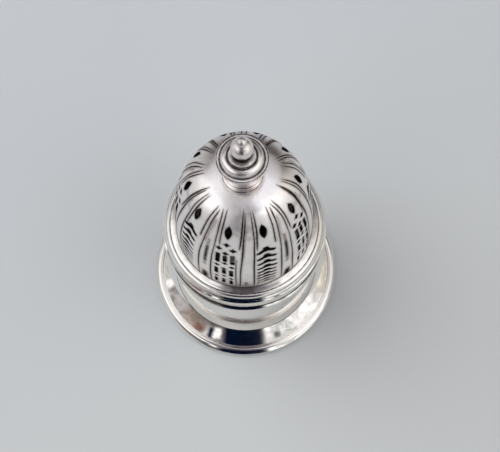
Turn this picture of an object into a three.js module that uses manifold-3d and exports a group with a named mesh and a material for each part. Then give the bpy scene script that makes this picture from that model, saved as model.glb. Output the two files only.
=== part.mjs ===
import * as THREE from "three";
import * as BufferGeometryUtils from "three/addons/utils/BufferGeometryUtils.js";
import Module from "manifold-3d";

// A silver sugar caster: a drum body on a spreading foot, and a pull-off pierced dome cover with a finial.
// Millimetres, +Z up, origin at the middle of the foot on the table.

const wasm = await Module();
wasm.setup();

// Fits
const solderFilm = 0.05; // room for solder between two soldered cylinders
const bezelClearance = 0.1; // running room of the cover's bezel in the mouth ring
const seatGap = 0.1; // between the body's lip and the cover that rests on it
const cutOverrun = 0.6; // how far a piercing tool passes each face of the dome

// Roundness
const bodySides = 40;
const finialSides = 24;

// Foot
const footRadius = 36;
const footWireInset = 0.45; // the moulding overhangs the wire it stands on
const footWireWidth = 2.1;
const footWireHeight = 1;
const footWireBevel = 0.2;
const footSheet = 0.8;
const footLipInset = 0.5;
const footMouldingWidth = 2.75;
const footMouldingHeight = 1.8;
const footFlangeHeight = 6.3;
const footRimStep = 0.7; // the flange meets its moulding this far below the moulding's crest
const footGrooveWidth = 0.15;
const footTopLedge = 1.8; // ring under the body's wall and base plate

// Body
const bodyRadius = 27.7;
const bodyWall = 0.8;
const bodyHeight = 36.66;
const basePlateThickness = 0.9;
const mouthRingHeight = 6.6;
const mouthRingWall = 0.55;

// Cover, from its seat up
const coverOverhang = 1.7; // the edge wire stands out past the body
const edgeWireHeight = 1.34;
const edgeWireLand = 0.12;
const bandStep = 0.7; // the band stands out past the body
const bandWall = 0.8;
const bandHeight = 7.4;
const bezelWall = 0.6;
const bezelDepth = 6.3;
const beadHeight = 1;
const beadStand = 0.55;
const shoulderWidth = 4.46;
const shoulderHeight = 2.52;
const shoulderSheet = 1;
const domeTuck = 0.9; // the dome's skirt reaches this far down inside the shoulder ring
const domeWall = 0.8;
const domeSideHeight = 36.94;
const domeShoulderHeight = 6.04;
const domeShoulderRadius = 17.78;
const domeShoulderLean = THREE.MathUtils.degToRad(25);
const crownSlope = THREE.MathUtils.degToRad(8);
const crownRadius = 6.9;

// Finial
const collarRingHeight = 1.2;
const collarRingRadius = 6.5;
const collarRadius = 6.3;
const collarWall = 0.9;
const collarHeight = 11.2;
const collarFlare = 0.6;
const collarWaist = 0.25;
const discRadius = 8.17;
const discEdge = 0.9;
const discRise = 1.9;
const discBossRadius = 6.7;
const discSeatRadius = 4.9;
const flangeRadius = 4.15;
const flangeSeatRadius = 3.6;
const flangeLift = 0.45;
const flangeThickness = 0.5;
const neckRadius = 1.9;
const neckHeight = 1.7;
const knopRadius = 3.45;
const ballRadius = 1.64;
const ballNeckRadius = 0.95;

// Piercing
const panelCount = 10;
const firstPanelAngle = THREE.MathUtils.degToRad(218.5);
const ovalWidth = 2.35;
const ovalHeight = 5.6;
const ovalRowShare = 0.745;
const columnPitch = 2.65;
const diamondWidth = 2.35;
const diamondHeight = 2.1;
const slotWidth = 1.25;
const sideSlotHeight = 5.8;
const middleSlotHeight = 4;
// Rows of the trellis from the top down, as shares of the outline's length, and each group's own size
const trellisShares = [
  { top: 0.633, sides: 0.584, bottom: 0.54, sideSlots: 0.471, middleSlot: 0.477, size: 1 },
  { top: 0.409, sides: 0.366, bottom: 0.327, sideSlots: 0.265, middleSlot: 0.271, size: 0.88 },
  { top: 0.195, sides: 0.162, bottom: 0.127, sideSlots: 0.082, middleSlot: 0.083, size: 0.72 },
];
const scaleCount = 9;
const scaleTopShare = 0.562;
const scalePitchShare = 0.076;
const scalePitchLossShare = 0.0041; // each step down is shorter than the last by this much
const scaleThinningShare = 0.055; // each scale is lower than the one above it by this much of the first one's height
const scaleHalfWidth = 3.3;
const scaleHumpHalfWidth = 1.1;
const scaleHumpHeight = 1.1;
const scaleDrop = 1.4;
const scaleBack = 0.9;

// Levels
const lipBase = footWireHeight;
const lipTop = lipBase + footSheet;
const footTop = lipTop + footFlangeHeight;
const bodyLip = footTop + bodyHeight;
const coverSeat = bodyLip + seatGap;
const bandBase = coverSeat + edgeWireHeight;
const shoulderBase = bandBase + bandHeight;
const domeBase = shoulderBase + shoulderHeight;
const crownLevel = domeBase + domeSideHeight + domeShoulderHeight;
const collarBase = crownLevel + collarRingHeight;
const discBase = collarBase + collarHeight;
const finialBase = discBase + discEdge + discRise;

// Radii that follow from the fits
const bodyInner = bodyRadius - bodyWall;
const mouthRingOuter = bodyInner - solderFilm;
const bezelRadius = mouthRingOuter - mouthRingWall - bezelClearance;
const edgeWireInner = bezelRadius + solderFilm;
const edgeWireRadius = bodyRadius + coverOverhang;
const bandRadius = bodyRadius + bandStep;
const shoulderInner = bandRadius - shoulderWidth;
const domeRadius = shoulderInner - solderFilm;
const collarBore = collarRadius - collarWall;

// Silver, polished on the plain turned parts and softer where it is pierced
const polishedSilver = new THREE.MeshStandardMaterial({ color: 0xd9d7d2, roughness: 0.16, metalness: 1 });
const satinSilver = new THREE.MeshStandardMaterial({ color: 0xcfc9c4, roughness: 0.34, metalness: 1 });
const plainSilver = new THREE.MeshStandardMaterial({ color: 0xc6c4be, roughness: 0.4, metalness: 1 });

const caster = new THREE.Group();

function addMesh(name, geometry, material) {
  const mesh = new THREE.Mesh(geometry, material);
  mesh.name = name;
  caster.add(mesh);
}

// A ring or solid turned about Z from an outline of [radius, height] points, counter-clockwise with the axis left
function turnedGeometry(outline, sides) {
  const points = outline.map(([radius, height]) => new THREE.Vector2(radius, height));
  const onAxis = outline[0][0] === 0 && outline.at(-1)[0] === 0;
  if (!onAxis) points.push(points[0].clone());
  return new THREE.LatheGeometry(points, sides).rotateX(Math.PI / 2);
}

function turned(name, outline, material, sides = bodySides) {
  addMesh(name, turnedGeometry(outline, sides), material);
}

// Points of an arc about a centre, from one angle to another in degrees
function arc(centreRadius, centreHeight, radius, fromDegrees, toDegrees, steps) {
  const points = [];
  for (let i = 0; i <= steps; i += 1) {
    const angle = THREE.MathUtils.degToRad(fromDegrees + ((toDegrees - fromDegrees) * i) / steps);
    points.push([centreRadius + radius * Math.cos(angle), centreHeight + radius * Math.sin(angle)]);
  }
  return points;
}

function rectangleRing(inner, outer, base, top) {
  return [
    [inner, base],
    [outer, base],
    [outer, top],
    [inner, top],
  ];
}

// Foot wire: the flat strip that the caster stands on
function buildFootWire() {
  const wireRadius = footRadius - footWireInset;
  turned(
    "foot_base_wire",
    [
      [wireRadius - footWireWidth, 0],
      [wireRadius - footWireBevel, 0],
      [wireRadius, footWireBevel],
      [wireRadius, footWireHeight],
      [wireRadius - footWireWidth, footWireHeight],
    ],
    polishedSilver,
  );
}

// Foot flange: a hollow spun cone, slightly dished, with a flat lip at its edge and a flat ledge at its top
function buildFootFlange() {
  const mouldingInner = footRadius - footMouldingWidth;
  const flangeEdge = mouldingInner - footGrooveWidth;
  const flangeEdgeHeight = lipTop + footMouldingHeight - footRimStep;
  const dishShare = 0.47;
  const sagShare = 0.55;
  const hollow = (start, end) =>
    new THREE.QuadraticBezierCurve(
      new THREE.Vector2(...start),
      new THREE.Vector2(
        THREE.MathUtils.lerp(start[0], end[0], dishShare),
        THREE.MathUtils.lerp(start[1], end[1], sagShare),
      ),
      new THREE.Vector2(...end),
    );
  const steps = 4;
  const outside = hollow([bodyRadius, footTop], [flangeEdge, flangeEdgeHeight]).getPoints(steps);
  const inside = hollow(
    [bodyRadius - footTopLedge, footTop - footSheet],
    [flangeEdge - footSheet, flangeEdgeHeight - footSheet],
  ).getPoints(steps);
  const lipEdge = footRadius - footLipInset;
  const outline = [
    ...inside.map((point) => [point.x, point.y]),
    [flangeEdge - footSheet, lipBase],
    [lipEdge, lipBase],
    [lipEdge, lipTop],
    [flangeEdge, lipTop],
    ...outside.reverse().map((point) => [point.x, point.y]),
    [bodyRadius - footTopLedge, footTop],
  ];
  turned("foot_flange", outline, polishedSilver);
}

// Foot moulding: the wire soldered on the lip, with a rounded flat crest and a face that falls to the edge
function buildFootMoulding() {
  const inner = footRadius - footMouldingWidth;
  const crest = lipTop + footMouldingHeight;
  // Share of the moulding's width outwards, and of its height upwards
  const mouldingShares = [
    [1, 0],
    [1, 0.17],
    [0.76, 0.58],
    [0.54, 0.93],
    [0.42, 0.99],
    [0.25, 1],
    [0.1, 0.94],
    [0, 0.7],
  ];
  const outline = [
    [inner, lipTop],
    ...mouldingShares.map(([across, up]) => [
      inner + across * footMouldingWidth,
      THREE.MathUtils.lerp(lipTop, crest, up),
    ]),
  ];
  turned("foot_edge_moulding", outline, polishedSilver);
}

function buildBody() {
  turned("body_shell", rectangleRing(bodyInner, bodyRadius, footTop, bodyLip), polishedSilver);
  const plateRadius = bodyInner - solderFilm;
  turned(
    "body_base_plate",
    [
      [0, footTop],
      [plateRadius, footTop],
      [plateRadius, footTop + basePlateThickness],
      [0, footTop + basePlateThickness],
    ],
    plainSilver,
  );
  const ringInner = mouthRingOuter - mouthRingWall;
  turned(
    "body_mouth_ring",
    rectangleRing(ringInner, mouthRingOuter, bodyLip - mouthRingHeight, bodyLip),
    plainSilver,
  );
}

// Cover rim: edge wire, bezel, plain band, bead and the moulded shoulder that carries the dome
function buildCoverRim() {
  const swellShare = 0.56;
  turned(
    "cover_edge_wire",
    [
      [edgeWireInner, coverSeat],
      [edgeWireRadius, coverSeat],
      [edgeWireRadius, coverSeat + edgeWireLand],
      [(edgeWireRadius + bandRadius) / 2, coverSeat + swellShare * edgeWireHeight],
      [bandRadius, bandBase],
      [edgeWireInner, bandBase],
    ],
    polishedSilver,
  );
  turned(
    "cover_bezel",
    rectangleRing(bezelRadius - bezelWall, bezelRadius, coverSeat - bezelDepth, bandBase),
    plainSilver,
  );
  turned("cover_band", rectangleRing(bandRadius - bandWall, bandRadius, bandBase, shoulderBase), polishedSilver);
  const beadInner = bandRadius + solderFilm;
  // Share of the bead's stand outwards, and of its height upwards: a round belly under a sloping top
  const beadShares = [
    [0, 0],
    [0.8, 0.1],
    [1, 0.3],
    [1, 0.5],
    [0, 1],
  ];
  turned(
    "cover_bead",
    beadShares.map(([out, up]) => [beadInner + out * beadStand, shoulderBase - (1 - up) * beadHeight]),
    polishedSilver,
  );
}

// Moulded shoulder: a ring of sheet from the dome's skirt out and down to the band
function buildShoulder() {
  // Share of the shoulder's width outwards from the dome, and of its height upwards from the band
  const outerShares = [
    [1, 0],
    [0.73, 0.58],
    [0.62, 0.65],
    [0.38, 0.75],
    [0.2, 0.86],
    [0, 1],
  ];
  const place = ([across, up]) => [shoulderInner + across * shoulderWidth, shoulderBase + up * shoulderHeight];
  const outer = outerShares.map(place);
  const backed = outer
    .slice(1, -1)
    .reverse()
    .map(([radius, height]) => [radius - shoulderSheet, height - shoulderSheet]);
  const outline = [
    ...outer,
    [shoulderInner, domeBase - shoulderSheet],
    ...backed,
    [bandRadius - bandWall, shoulderBase],
  ];
  turned("cover_shoulder", outline, polishedSilver);
}

// Outline of the dome: a steep side that leans in, then a round shoulder to the flat seat of the finial
function domeOutline() {
  const sideTop = new THREE.Vector2(domeShoulderRadius, domeBase + domeSideHeight);
  const lean = new THREE.Vector2(-Math.sin(domeShoulderLean), Math.cos(domeShoulderLean));
  const crownEnd = new THREE.Vector2(crownRadius, crownLevel);
  const crownRun = new THREE.Vector2(Math.cos(crownSlope), -Math.sin(crownSlope));
  const sideRiseShare = 0.54;
  const sideEaseShare = 0.27;
  const shoulderEaseShare = 0.72;
  const crownEaseShare = 0.46;
  const side = new THREE.CubicBezierCurve(
    new THREE.Vector2(domeRadius, domeBase),
    new THREE.Vector2(domeRadius, domeBase + sideRiseShare * domeSideHeight),
    sideTop.clone().addScaledVector(lean, -sideEaseShare * domeSideHeight),
    sideTop,
  );
  const shoulder = new THREE.CubicBezierCurve(
    sideTop,
    sideTop.clone().addScaledVector(lean, shoulderEaseShare * domeShoulderHeight),
    crownEnd.clone().addScaledVector(crownRun, crownEaseShare * (domeShoulderRadius - crownRadius)),
    crownEnd,
  );
  const outline = new THREE.CurvePath();
  outline.add(side);
  outline.add(shoulder);
  return outline;
}

// The point of the outline at a share of its length, with its direction upwards and its outward normal
function outlineFrame(outline, share) {
  const point = outline.getPoint(share);
  const along = outline.getTangent(share);
  return { point, along, normal: new THREE.Vector2(along.y, -along.x) };
}

// The dome before piercing
function domeGeometry(outline) {
  const outlineShares = [0, 0.23, 0.43, 0.58, 0.69, 0.78, 0.84, 0.89, 0.94, 1];
  const innerShares = [0, 0.3, 0.54, 0.7, 0.82, 0.92];
  const frames = outlineShares.map((share) => outlineFrame(outline, share));
  const inner = innerShares.map((share) => {
    const frame = outlineFrame(outline, share);
    return frame.point.addScaledVector(frame.normal, -domeWall);
  });
  const skirt = domeBase - domeTuck;
  const points = [
    [0, crownLevel - domeWall],
    [crownRadius - domeWall, crownLevel - domeWall],
    ...inner.reverse().map((point) => [point.x, point.y]),
    [domeRadius - domeWall, skirt],
    [domeRadius, skirt],
    ...frames.map(({ point }) => [point.x, point.y]),
    [0, crownLevel],
  ];
  return turnedGeometry(points, bodySides);
}

// A piercing tool: a flat figure of [across, up] points pushed through the dome's wall square to it
function piercingTool(outline, angle, share, figure) {
  const { point, along, normal } = outlineFrame(outline, share);
  const shape = new THREE.Shape(figure.map(([across, up]) => new THREE.Vector2(across, up)));
  const depth = domeWall + 2 * cutOverrun;
  const tool = new THREE.ExtrudeGeometry(shape, { depth, bevelEnabled: false });
  const outward = new THREE.Vector3(Math.cos(angle) * normal.x, Math.sin(angle) * normal.x, normal.y);
  const upward = new THREE.Vector3(Math.cos(angle) * along.x, Math.sin(angle) * along.x, along.y);
  const across = new THREE.Vector3().crossVectors(upward, outward);
  const start = new THREE.Vector3(Math.cos(angle) * point.x, Math.sin(angle) * point.x, point.y);
  start.addScaledVector(outward, -domeWall - cutOverrun);
  return tool.applyMatrix4(new THREE.Matrix4().makeBasis(across, upward, outward).setPosition(start));
}

function diamondFigure(size) {
  const half = (size * diamondWidth) / 2;
  const rise = (size * diamondHeight) / 2;
  return [
    [half, 0],
    [0, rise],
    [-half, 0],
    [0, -rise],
  ];
}

function slotFigure(size, height) {
  const half = (size * slotWidth) / 2;
  const rise = (size * height) / 2;
  return [
    [half, -rise],
    [half, rise],
    [-half, rise],
    [-half, -rise],
  ];
}

// A pointed oval
function ovalFigure() {
  const half = ovalWidth / 2;
  const rise = ovalHeight / 2;
  const bellyShare = 0.36;
  return [
    [half, -bellyShare * rise],
    [half, bellyShare * rise],
    [0, rise],
    [-half, bellyShare * rise],
    [-half, -bellyShare * rise],
    [0, -rise],
  ];
}

// A scale: an arched slit with a hump in its middle and wings that taper to a point
function scaleFigure(size) {
  const half = scaleHumpHalfWidth;
  const rise = size * scaleHumpHeight;
  const back = -size * scaleBack;
  const drop = -size * scaleDrop;
  return [
    [scaleHalfWidth, drop],
    [half, rise],
    [-half, rise],
    [-scaleHalfWidth, drop],
    [-half, back],
    [half, back],
  ];
}

function trellisTools(outline, angle) {
  const columnAngle = columnPitch / domeRadius;
  const tools = [];
  for (const row of trellisShares) {
    const diamond = diamondFigure(row.size);
    tools.push(piercingTool(outline, angle, row.top, diamond));
    tools.push(piercingTool(outline, angle, row.bottom, diamond));
    tools.push(piercingTool(outline, angle, row.middleSlot, slotFigure(row.size, middleSlotHeight)));
    for (const side of [-columnAngle, columnAngle]) {
      tools.push(piercingTool(outline, angle + side, row.sides, diamond));
      tools.push(piercingTool(outline, angle + side, row.sideSlots, slotFigure(row.size, sideSlotHeight)));
    }
  }
  return tools;
}

function scaleTools(outline, angle) {
  const tools = [];
  for (let step = 0; step < scaleCount; step += 1) {
    const dropShare = step * scalePitchShare - (step * (step - 1) * scalePitchLossShare) / 2;
    const size = 1 - step * scaleThinningShare;
    tools.push(piercingTool(outline, angle, scaleTopShare - dropShare, scaleFigure(size)));
  }
  return tools;
}

function toSolid(geometry) {
  const bare = geometry.index ? geometry.toNonIndexed() : geometry.clone();
  bare.deleteAttribute("normal");
  bare.deleteAttribute("uv");
  const merged = BufferGeometryUtils.mergeVertices(bare, 1e-5);
  return new wasm.Manifold(
    new wasm.Mesh({
      numProp: 3,
      vertProperties: new Float32Array(merged.attributes.position.array),
      triVerts: new Uint32Array(merged.index.array),
    }),
  );
}

function toGeometry(solid) {
  const mesh = solid.getMesh();
  const geometry = new THREE.BufferGeometry();
  geometry.setAttribute("position", new THREE.BufferAttribute(new Float32Array(mesh.vertProperties), 3));
  geometry.setIndex(new THREE.BufferAttribute(new Uint32Array(mesh.triVerts), 1));
  return geometry;
}

// Ten panels, scale and trellis in turn, each under a pointed oval
function buildDome() {
  const outline = domeOutline();
  let dome = toSolid(domeGeometry(outline));
  for (let panel = 0; panel < panelCount; panel += 1) {
    const angle = firstPanelAngle + (panel * 2 * Math.PI) / panelCount;
    const tools = panel % 2 === 0 ? scaleTools(outline, angle) : trellisTools(outline, angle);
    tools.push(piercingTool(outline, angle, ovalRowShare, ovalFigure()));
    for (const tool of tools) dome = dome.subtract(toSolid(tool));
  }
  addMesh("cover_dome", toGeometry(dome), satinSilver);
}

// Collar ring, collar, disc and the cast finial, one on the other on the dome's crown
function buildFinial() {
  const roundShare = 0.3;
  turned(
    "finial_collar_ring",
    [
      [collarBore, crownLevel],
      [collarRingRadius, crownLevel],
      [collarRingRadius, collarBase - roundShare * collarRingHeight],
      [collarRadius, collarBase],
      [collarBore, collarBase],
    ],
    satinSilver,
    finialSides,
  );
  // Share of the collar's height, and of its waist (inwards) and flare (outwards)
  const collarShares = [
    { up: 0, waist: 0, flare: 0 },
    { up: 0.15, waist: 0.8, flare: 0 },
    { up: 0.45, waist: 1, flare: 0.1 },
    { up: 0.8, waist: 0.4, flare: 0.6 },
    { up: 1, waist: 0, flare: 1 },
  ];
  turned(
    "finial_collar",
    [
      [collarBore, collarBase],
      ...collarShares.map(({ up, waist, flare }) => [
        collarRadius - waist * collarWaist + flare * collarFlare,
        collarBase + up * collarHeight,
      ]),
      [collarBore, discBase],
    ],
    satinSilver,
    finialSides,
  );
  const edgeTop = discBase + discEdge;
  // Share of the boss's width inwards from its foot, and of its rise
  const bossShares = [
    [0, 0],
    [0.12, 0.42],
    [0.4, 0.8],
    [0.75, 0.97],
    [1, 1],
  ];
  turned(
    "finial_disc",
    [
      [0, discBase],
      [discRadius - roundShare * discEdge, discBase],
      [discRadius, discBase + roundShare * discEdge],
      [discRadius, edgeTop - roundShare * discEdge],
      [discRadius - roundShare * discEdge, edgeTop],
      ...bossShares.map(([inward, up]) => [
        THREE.MathUtils.lerp(discBossRadius, discSeatRadius, inward),
        edgeTop + up * discRise,
      ]),
      [0, finialBase],
    ],
    polishedSilver,
    finialSides,
  );
  const flangeBase = finialBase + flangeLift;
  const flangeTop = flangeBase + flangeThickness;
  const knopStart = -55;
  const knopEnd = 62;
  const knopMiddle = flangeTop + neckHeight + knopRadius * Math.sin(THREE.MathUtils.degToRad(-knopStart));
  const ballStart = -35;
  const ballMiddle =
    knopMiddle +
    knopRadius * Math.sin(THREE.MathUtils.degToRad(knopEnd)) +
    ballRadius * Math.sin(THREE.MathUtils.degToRad(-ballStart)) +
    ballNeckRadius / 4;
  const neckLowShare = 0.25;
  turned(
    "finial",
    [
      [0, finialBase],
      [flangeSeatRadius, finialBase],
      [flangeSeatRadius, flangeBase],
      [flangeRadius, flangeBase],
      [flangeRadius, flangeTop],
      [THREE.MathUtils.lerp(neckRadius, flangeRadius, neckLowShare), flangeTop + neckLowShare * neckHeight],
      [neckRadius, flangeTop + (1 - neckLowShare) * neckHeight],
      ...arc(0, knopMiddle, knopRadius, knopStart, knopEnd, 7),
      [ballNeckRadius, ballMiddle - ballRadius * Math.sin(THREE.MathUtils.degToRad(-ballStart))],
      ...arc(0, ballMiddle, ballRadius, ballStart, 90, 5).slice(0, -1),
      [0, ballMiddle + ballRadius],
    ],
    polishedSilver,
    finialSides,
  );
}

buildFootWire();
buildFootFlange();
buildFootMoulding();
buildBody();
buildCoverRim();
buildShoulder();
buildDome();
buildFinial();

export default caster;
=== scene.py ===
"""The finish of a pierced silver sugar caster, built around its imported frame.

Turned parts are traced as half outlines and spun. The dome is spun as a shell, pierced by flat
figures that are extruded through its wall, and engraved by thin tubes that run along its outside.
"""

import math
import random
from functools import cache

import bpy
import numpy as np
from mathutils import Matrix, Vector
from mathutils.kdtree import KDTree


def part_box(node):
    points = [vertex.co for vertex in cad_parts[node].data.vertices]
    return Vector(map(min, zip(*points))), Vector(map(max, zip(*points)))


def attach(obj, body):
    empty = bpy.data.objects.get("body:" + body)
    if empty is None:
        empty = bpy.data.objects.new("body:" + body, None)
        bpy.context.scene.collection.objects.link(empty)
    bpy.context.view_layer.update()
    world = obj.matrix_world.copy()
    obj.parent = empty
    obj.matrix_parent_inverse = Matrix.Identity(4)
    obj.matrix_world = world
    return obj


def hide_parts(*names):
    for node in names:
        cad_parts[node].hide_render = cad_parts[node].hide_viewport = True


bl_info = {
    "name": "Sugar caster",
    "version": (1, 0, 0),
    "blender": (4, 5, 0),
    "location": "View3D > Sidebar > Caster",
    "description": "Turns, pierces and finishes a silver sugar caster around its packed frame",
    "category": "Object",
}

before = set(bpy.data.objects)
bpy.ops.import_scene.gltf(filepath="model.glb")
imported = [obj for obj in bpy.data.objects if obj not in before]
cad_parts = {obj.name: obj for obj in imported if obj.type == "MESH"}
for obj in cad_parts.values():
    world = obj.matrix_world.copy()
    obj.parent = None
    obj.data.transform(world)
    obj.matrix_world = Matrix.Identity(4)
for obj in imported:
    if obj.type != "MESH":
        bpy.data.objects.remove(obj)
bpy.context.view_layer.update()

MM = 0.001
NOTHING = 1e-9
MERGE_DISTANCE = MM * 1e-3


def low(node):
    """The height of a frame node's lowest point, in millimetres."""
    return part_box(node)[0].z / MM


def high(node):
    """The height of a frame node's highest point, in millimetres."""
    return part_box(node)[1].z / MM


def reach(node):
    """The outer radius of a frame node, in millimetres."""
    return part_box(node)[1].x / MM


# Levels and radii of the frame, in millimetres
FOOT_RADIUS = reach("foot_edge_moulding")
FOOT_WIRE_RADIUS = reach("foot_base_wire")
LIP_BASE = high("foot_base_wire")
LIP_TOP = low("foot_edge_moulding")
MOULDING_TOP = high("foot_edge_moulding")
LIP_RADIUS = reach("foot_flange")
FOOT_TOP = high("foot_flange")
BODY_RADIUS = reach("body_shell")
BODY_LIP = high("body_shell")
BASE_PLATE_RADIUS = reach("body_base_plate")
BASE_PLATE_TOP = high("body_base_plate")
MOUTH_RING_RADIUS = reach("body_mouth_ring")
MOUTH_RING_BASE = low("body_mouth_ring")
COVER_SEAT = low("cover_edge_wire")
EDGE_WIRE_RADIUS = reach("cover_edge_wire")
BAND_BASE = high("cover_edge_wire")
BAND_RADIUS = reach("cover_band")
BEZEL_RADIUS = reach("cover_bezel")
BEZEL_BASE = low("cover_bezel")
BEAD_BASE = low("cover_bead")
BEAD_RADIUS = reach("cover_bead")
SHOULDER_BASE = low("cover_shoulder")
DOME_SKIRT = low("cover_dome")
DOME_BASE = high("cover_shoulder")
DOME_RADIUS = reach("cover_dome")
CROWN = high("cover_dome")
COLLAR_RING_RADIUS = reach("finial_collar_ring")
COLLAR_BASE = low("finial_collar")
DISC_BASE = low("finial_disc")
DISC_RADIUS = reach("finial_disc")
FINIAL_BASE = low("finial")
FLANGE_RADIUS = reach("finial")
FINIAL_TOP = high("finial")

# Sizes that the frame's boxes don't give, in millimetres
SOLDER_FILM = 0.05
FOOT_WIRE_WIDTH = 2.1
FOOT_MOULDING_WIDTH = 2.75
FOOT_GROOVE = 0.15
FOOT_RIM_STEP = 0.7
FOOT_TOP_LEDGE = 1.8
MOUTH_RING_WALL = 0.55
BEZEL_WALL = 0.6
SHOULDER_SHEET = 1
DOME_SHOULDER_HEIGHT = 6.04
DOME_SHOULDER_RADIUS = 17.78
CROWN_RADIUS = 6.9
COLLAR_RADIUS = 6.3
COLLAR_WALL = 0.9
COLLAR_WAIST = 0.25
COLLAR_FLARE = 0.6
COLLAR_GROOVE_LEVEL = 2.8
COLLAR_GROOVE_DEPTH = 0.3
DISC_EDGE = 0.9
DISC_BOSS_RADIUS = 6.7
DISC_SEAT_RADIUS = 4.9
DISC_RING_RADIUS = 7.82
DISC_RING_WIDTH = 0.26
DISC_RING_DEPTH = 0.14
FLANGE_SEAT_RADIUS = 3.6
FLANGE_LIFT = 0.45
FLANGE_THICKNESS = 0.5
NECK_RADIUS = 1.9
NECK_HEIGHT = 1.7
KNOP_RADIUS = 3.45
BALL_RADIUS = 1.64
BALL_NECK_RADIUS = 0.95

# Edges that handling has rounded, as a share of the sheet's thickness
WORN_EDGE_SHARE = 0.25

# Angles of the dome's outline, and of the knop's and the ball's arcs in degrees up from level
DOME_SHOULDER_LEAN = math.radians(25)
CROWN_SLOPE = math.radians(8)
KNOP_ARC = (-55, 62)
BALL_ARC = (-40, 90)

# Rows and columns of the dome's mesh. Its inside has one row to every few of the outside
DOME_ROWS = 72
DOME_COLUMNS = 300
DOME_INSIDE_STRIDE = 4
CROWN_RINGS = 5

# The pattern of the dome: ten panels, scale and trellis in turn, with a rib between each two
PANEL_COUNT = 10
PANEL_PITCH = math.tau / PANEL_COUNT
FIRST_PANEL = math.radians(218.5)
CUT_OVERRUN = 0.6
OVAL_SHARE = 0.745
OVAL_WIDTH = 2.35
OVAL_HEIGHT = 5.6
COLUMN_PITCH = 2.65
DIAMOND_WIDTH = 2.35
DIAMOND_HEIGHT = 2.1
SLOT_WIDTH = 1.45
SIDE_SLOT_HEIGHT = 5.8
MIDDLE_SLOT_HEIGHT = 4
# Rows of the trellis from the top down, as shares of the dome's outline, and each group's own size
TRELLIS_SHARES = (
    {"top": 0.633, "sides": 0.584, "bottom": 0.54, "side_slots": 0.471, "middle_slot": 0.477,
     "size": 1},
    {"top": 0.409, "sides": 0.366, "bottom": 0.327, "side_slots": 0.265, "middle_slot": 0.271,
     "size": 0.88},
    {"top": 0.195, "sides": 0.162, "bottom": 0.127, "side_slots": 0.082, "middle_slot": 0.083,
     "size": 0.72},
)
SCALE_COUNT = 9
SCALE_TOP_SHARE = 0.562
SCALE_PITCH_SHARE = 0.076
SCALE_PITCH_LOSS_SHARE = 0.0041
SCALE_HALF_WIDTH = 3.3
SCALE_HEIGHT = 3.3
SCALE_THINNING_SHARE = 0.068

# Where the marking out by hand put a panel off its place: round in degrees, up as a share of the
# outline, and the share by which its scales' pitch is wider at each step
PANEL_SLIPS = {0: (-2.5, 0.035, 0.0018), 2: (-0.5, 0.012, 0), 3: (2.5, 0.018, 0)}
# How far the saw strays: across in mm, up as a share of the outline, and from and to in size
SAW_SLIP = 0.06
SAW_SLIP_SHARE = 0.0015
SAW_SIZES = (0.94, 1.05)
# How far a graver strays, as a share of the panel pitch, and from and to in weight
GRAVER_SLIP_SHARE = 0.008
GRAVER_WEIGHTS = (0.9, 1.1)
# An engraved line's width in mm, and the shares of its weight at its end and gained at each step
ENGRAVED_WIDTH = 0.36
ENGRAVED_END_SHARE = 0.3
ENGRAVED_GAIN_SHARE = 0.35

# Material slots of the dome's cut faces
SAWN = 2
ENGRAVED = 3

# Engraved lines of a rib, as (share of the panel pitch across, share of the outline up, weight)
TONGUE_LINE_SHARES = (
    (
        (-0.04, 0.915, 0.5), (-0.083, 0.857, 1), (-0.111, 0.779, 1.4), (-0.139, 0.701, 1.3),
        (-0.18, 0.604, 0.9),
    ),
    (
        (0, 0.896, 0.5), (-0.028, 0.818, 1), (-0.083, 0.701, 1), (-0.097, 0.623, 1.3),
        (-0.111, 0.545, 1.3), (-0.139, 0.428, 1.2), (-0.167, 0.292, 1), (-0.18, 0.097, 1),
        (-0.194, 0.01, 0.9),
    ),
    ((-0.25, 0.487, 0.4), (-0.264, 0.292, 0.8), (-0.264, 0.02, 0.8)),
    (
        (0.208, 0.896, 0.5), (0.194, 0.779, 0.9), (0.194, 0.682, 0.9), (0.167, 0.565, 1.2),
        (0.139, 0.389, 1.3), (0.133, 0.234, 1.2), (0.125, 0.01, 1),
    ),
    ((0.305, 0.896, 0.5), (0.305, 0.779, 1.3), (0.278, 0.682, 1.2), (0.25, 0.584, 0.6)),
)
LEAF_LINE_SHARES = (
    (
        (-0.125, 0.886, 0.5), (-0.18, 0.818, 0.9), (-0.208, 0.74, 1), (-0.236, 0.662, 1.2),
        (-0.25, 0.604, 1.1),
    ),
    (
        (0, 0.876, 0.5), (-0.042, 0.818, 1.1), (-0.083, 0.72, 0.9), (-0.111, 0.643, 0.8),
        (-0.139, 0.545, 0.9), (-0.175, 0.428, 1.2), (-0.194, 0.273, 1.2), (-0.203, 0.097, 0.8),
        (-0.203, 0.01, 0.7),
    ),
    (
        (0.111, 0.886, 0.5), (0.167, 0.837, 1), (0.194, 0.76, 1), (0.186, 0.662, 0.8),
        (0.175, 0.584, 0.6), (0.153, 0.487, 0.9), (0.131, 0.292, 1.3), (0.125, 0.156, 1.2),
        (0.139, 0.01, 0.9),
    ),
    ((0.25, 0.896, 0.5), (0.286, 0.818, 1.1), (0.283, 0.701, 0.9), (0.283, 0.623, 0.6)),
)
RIB_LINE_SHARES = (LEAF_LINE_SHARES, TONGUE_LINE_SHARES)

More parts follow.
